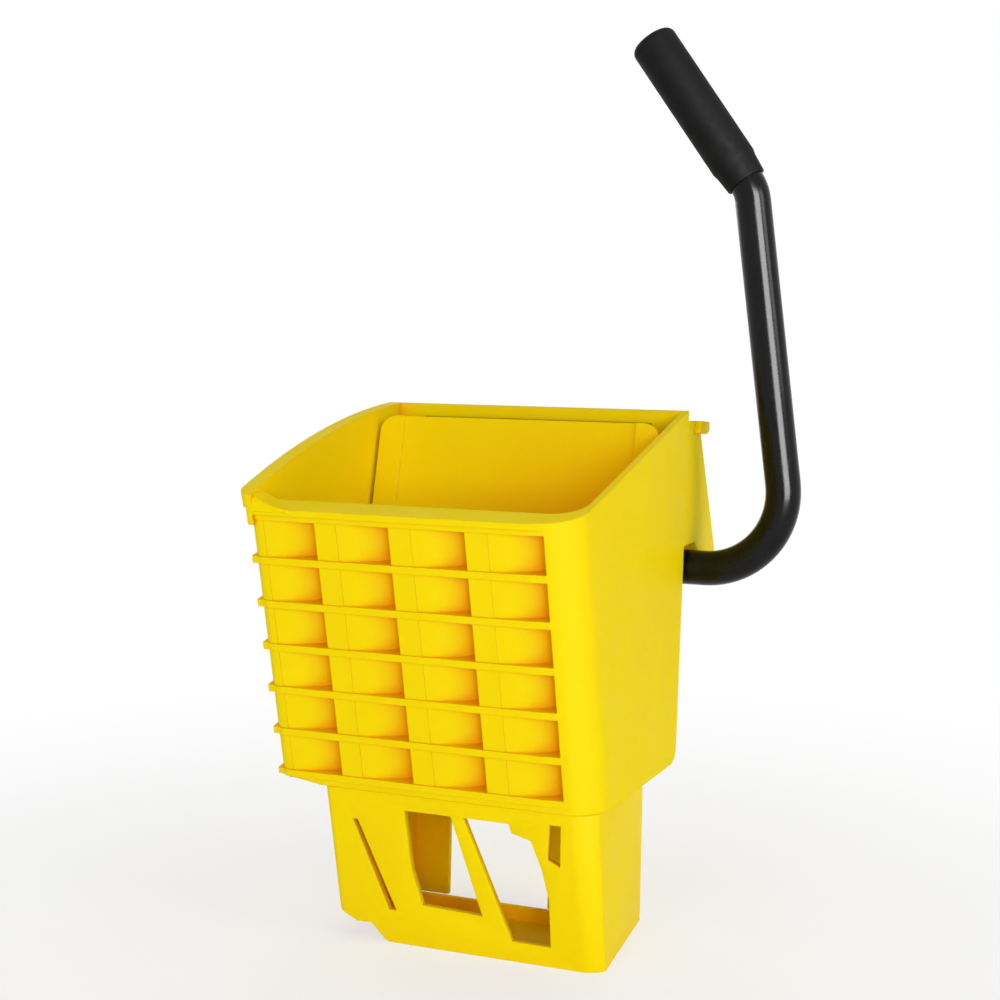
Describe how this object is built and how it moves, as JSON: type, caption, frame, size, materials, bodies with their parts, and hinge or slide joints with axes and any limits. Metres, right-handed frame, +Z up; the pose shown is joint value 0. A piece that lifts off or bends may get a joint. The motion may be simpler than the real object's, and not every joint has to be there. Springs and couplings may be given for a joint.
{
  "type": "side press mop wringer",
  "caption": "Moulded basket on an open drain skirt with a hinged press plate, pushed forward by cams on a bent tube handle to squeeze a mop.",
  "frame": {"origin": "on the skirt's standing face, under the press plate's hinge and on the basket's middle plane", "axes": "+Z up, -Y towards the ribbed front wall, +X towards the handle's side; the hinge and the handle shaft lie along X"},
  "size_m": [0.3434, 0.311, 0.679],
  "materials": {
    "yellow_moulding": "smooth satin moulded polypropylene",
    "black_tube": "glossy black coated steel tube",
    "black_grip": "soft black moulded grip",
    "black_nylon": "matte black filled nylon",
    "bush_plastic": "pale bearing plastic",
    "zinc_steel": "bright zinc plate",
    "spring_steel": "drawn wire",
    "dark_steel": "blackened screws"
  },
  "bodies": {
    "frame": {"basket": "yellow_moulding", "drain_grate": "yellow_moulding", "lower_skirt": "yellow_moulding", "skirt_screws": "zinc_steel", "rear_hood": "yellow_moulding", "hood_screws": "zinc_steel", "bearing_block_left": "black_nylon", "bearing_block_right": "black_nylon", "block_bolts": "zinc_steel", "shaft_bush_left": "bush_plastic", "shaft_bush_right": "bush_plastic", "hinge_pin_left": "zinc_steel", "hinge_pin_right": "zinc_steel", "wall_spring_studs": "zinc_steel", "return_spring_left": "spring_steel", "return_spring_right": "spring_steel"},
    "plate": {"press_plate": "yellow_moulding", "hinge_bush_left": "bush_plastic", "hinge_bush_right": "bush_plastic", "cam_pad_left": "zinc_steel", "cam_pad_right": "zinc_steel", "pad_rivets": "zinc_steel", "plate_spring_studs": "zinc_steel"},
    "handle": {"handle_tube": "black_tube", "handle_grip": "black_grip", "tube_end_plug": "black_nylon", "drive_cam_left": "black_nylon", "drive_cam_right": "black_nylon", "cam_bolts": "zinc_steel", "cam_nuts": "zinc_steel", "shaft_collar_left": "zinc_steel", "shaft_collar_right": "zinc_steel", "collar_screws": "dark_steel"}
  },
  "joints": [
    {"name": "handle_swing", "type": "hinge", "parent": "frame", "child": "handle", "pos_m": [0, 0.101, 0.268], "axis": [1, 0, 0], "range_deg": [0, 80], "stiffness_Nm_per_rad": 1.5, "springref_deg": -25.78},
    {"name": "plate_swing", "type": "hinge", "parent": "frame", "child": "plate", "pos_m": [0, 0, 0.143], "axis": [1, 0, 0], "range_deg": [0, 24], "deforming": ["return_spring_left", "return_spring_right"]}
  ],
  "couplings": [
    {"joint": "plate_swing", "follows": "handle_swing", "ratio": 0.3}
  ]
}
